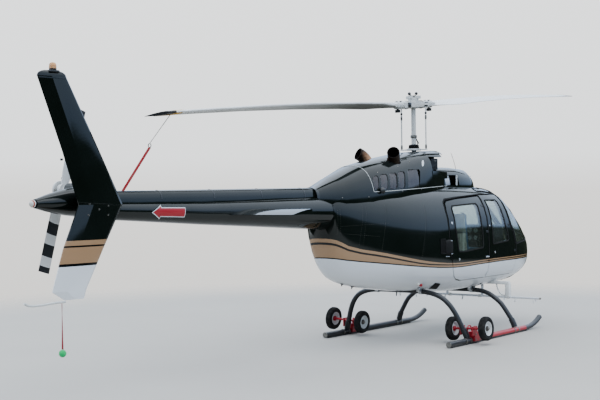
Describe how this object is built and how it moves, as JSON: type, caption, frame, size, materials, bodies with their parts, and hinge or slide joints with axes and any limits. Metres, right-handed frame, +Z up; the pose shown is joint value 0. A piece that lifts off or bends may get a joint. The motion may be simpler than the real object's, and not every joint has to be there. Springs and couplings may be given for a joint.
{
  "type": "light helicopter",
  "caption": "Light single-rotor helicopter on high skids with hinged cabin doors, tail rotor, ground handling wheels and a spray boom under the nose.",
  "frame": {"origin": "on the ground under the middle of the length, on the centreline", "axes": "+X to the nose, +Y to port (left), +Z up"},
  "size_m": [11.971, 2.5112, 3.6342],
  "materials": {
    "green_paint": "gloss",
    "white_paint": "gloss",
    "black_paint": "satin",
    "red_paint": "satin",
    "white_rotor": "satin",
    "bare_steel": "brushed",
    "exhaust_steel": "heat tinted",
    "wheel_rubber": "matte",
    "seat_cloth": "woven",
    "dark_plastic": "matte",
    "cabin_trim": "matte",
    "clear_glass": "clear",
    "tinted_glass": "tinted",
    "red_webbing": "woven",
    "green_felt": "felt",
    "red_lens": "clear lens",
    "clear_lens": "clear lens"
  },
  "bodies": {
    "airframe": {"lower_hull": "white_paint", "cabin_top": "green_paint", "windshield_left": "clear_glass", "roof_window_left": "tinted_glass", "chin_window_left": "tinted_glass", "windshield_right": "clear_glass", "roof_window_right": "tinted_glass", "chin_window_right": "tinted_glass", "front_seat_left": "seat_cloth", "front_seat_right": "seat_cloth", "rear_bench": "seat_cloth", "control_divider": "cabin_trim", "instrument_console": "dark_plastic", "rear_body": "green_paint", "tail_boom": "green_paint", "engine_cowl": "green_paint", "rear_fairing": "green_paint", "forward_fairing": "green_paint", "engine_block": "bare_steel", "transmission_block": "bare_steel", "exhaust_left": "exhaust_steel", "exhaust_right": "exhaust_steel", "shaft_cover": "green_paint", "tail_cone": "green_paint", "tail_lamp": "clear_lens", "stabilizer_left": "green_paint", "stabilizer_right": "green_paint", "fin": "green_paint", "beacon": "red_lens", "tail_skid": "white_paint", "flag_strap": "red_webbing", "flag_ball": "green_felt", "cross_tube_front": "black_paint", "cross_tube_rear": "black_paint", "skid_left": "black_paint", "skid_right": "black_paint", "wheel_frame_left": "red_paint", "wheel_frame_right": "red_paint", "spray_boom": "white_paint", "tail_gearbox": "green_paint"},
    "main_rotor": {"mast": "white_rotor", "rotor_hub": "white_rotor", "blade_forward": "white_rotor", "blade_rear": "white_rotor", "swashplate_links": "black_paint"},
    "tail_rotor": {"tail_rotor": "white_rotor"},
    "baggage_door": {"baggage_door": "green_paint"},
    "front_door_left": {"front_door_left": "green_paint", "front_door_glass_left": "clear_glass"},
    "rear_door_left": {"rear_door_left": "green_paint", "rear_door_glass_left": "clear_glass"},
    "wheels_left": {"wheel_left_outer": "wheel_rubber", "wheel_left_inner": "wheel_rubber"},
    "front_door_right": {"front_door_right": "green_paint", "front_door_glass_right": "clear_glass"},
    "rear_door_right": {"rear_door_right": "green_paint", "rear_door_glass_right": "clear_glass"},
    "wheels_right": {"wheel_right_outer": "wheel_rubber", "wheel_right_inner": "wheel_rubber"}
  },
  "joints": [
    {"name": "main_rotor_spin", "type": "hinge", "parent": "airframe", "child": "main_rotor", "pos_m": [0.91749, 0, 3.178], "axis": [0, 0, 1], "continuous": true},
    {"name": "tail_rotor_spin", "type": "hinge", "parent": "airframe", "child": "tail_rotor", "pos_m": [-5.04251, 0.345, 2.05], "axis": [0, 1, 0], "continuous": true},
    {"name": "front_door_left_hinge", "type": "hinge", "parent": "airframe", "child": "front_door_left", "pos_m": [2.67449, 0.655, 1.1], "axis": [0, 0, 1], "range_deg": [-75, 0]},
    {"name": "rear_door_left_hinge", "type": "hinge", "parent": "airframe", "child": "rear_door_left", "pos_m": [1.79649, 0.675, 1.1], "axis": [0, 0, 1], "range_deg": [-75, 0]},
    {"name": "front_door_right_hinge", "type": "hinge", "parent": "airframe", "child": "front_door_right", "pos_m": [2.67449, -0.655, 1.1], "axis": [0, 0, 1], "range_deg": [0, 75]},
    {"name": "rear_door_right_hinge", "type": "hinge", "parent": "airframe", "child": "rear_door_right", "pos_m": [1.79649, -0.675, 1.1], "axis": [0, 0, 1], "range_deg": [0, 75]},
    {"name": "baggage_door_hinge", "type": "hinge", "parent": "airframe", "child": "baggage_door", "pos_m": [0.23949, 0.617, 1.25], "axis": [0, 0, 1], "range_deg": [-80, 0]},
    {"name": "wheels_left_spin", "type": "hinge", "parent": "airframe", "child": "wheels_left", "pos_m": [0.66749, 0.962, 0.199], "axis": [0, 0.9986, 0.0523], "continuous": true},
    {"name": "wheels_right_spin", "type": "hinge", "parent": "airframe", "child": "wheels_right", "pos_m": [0.66749, -0.962, 0.199], "axis": [0, 0.9986, -0.0523], "continuous": true}
  ]
}
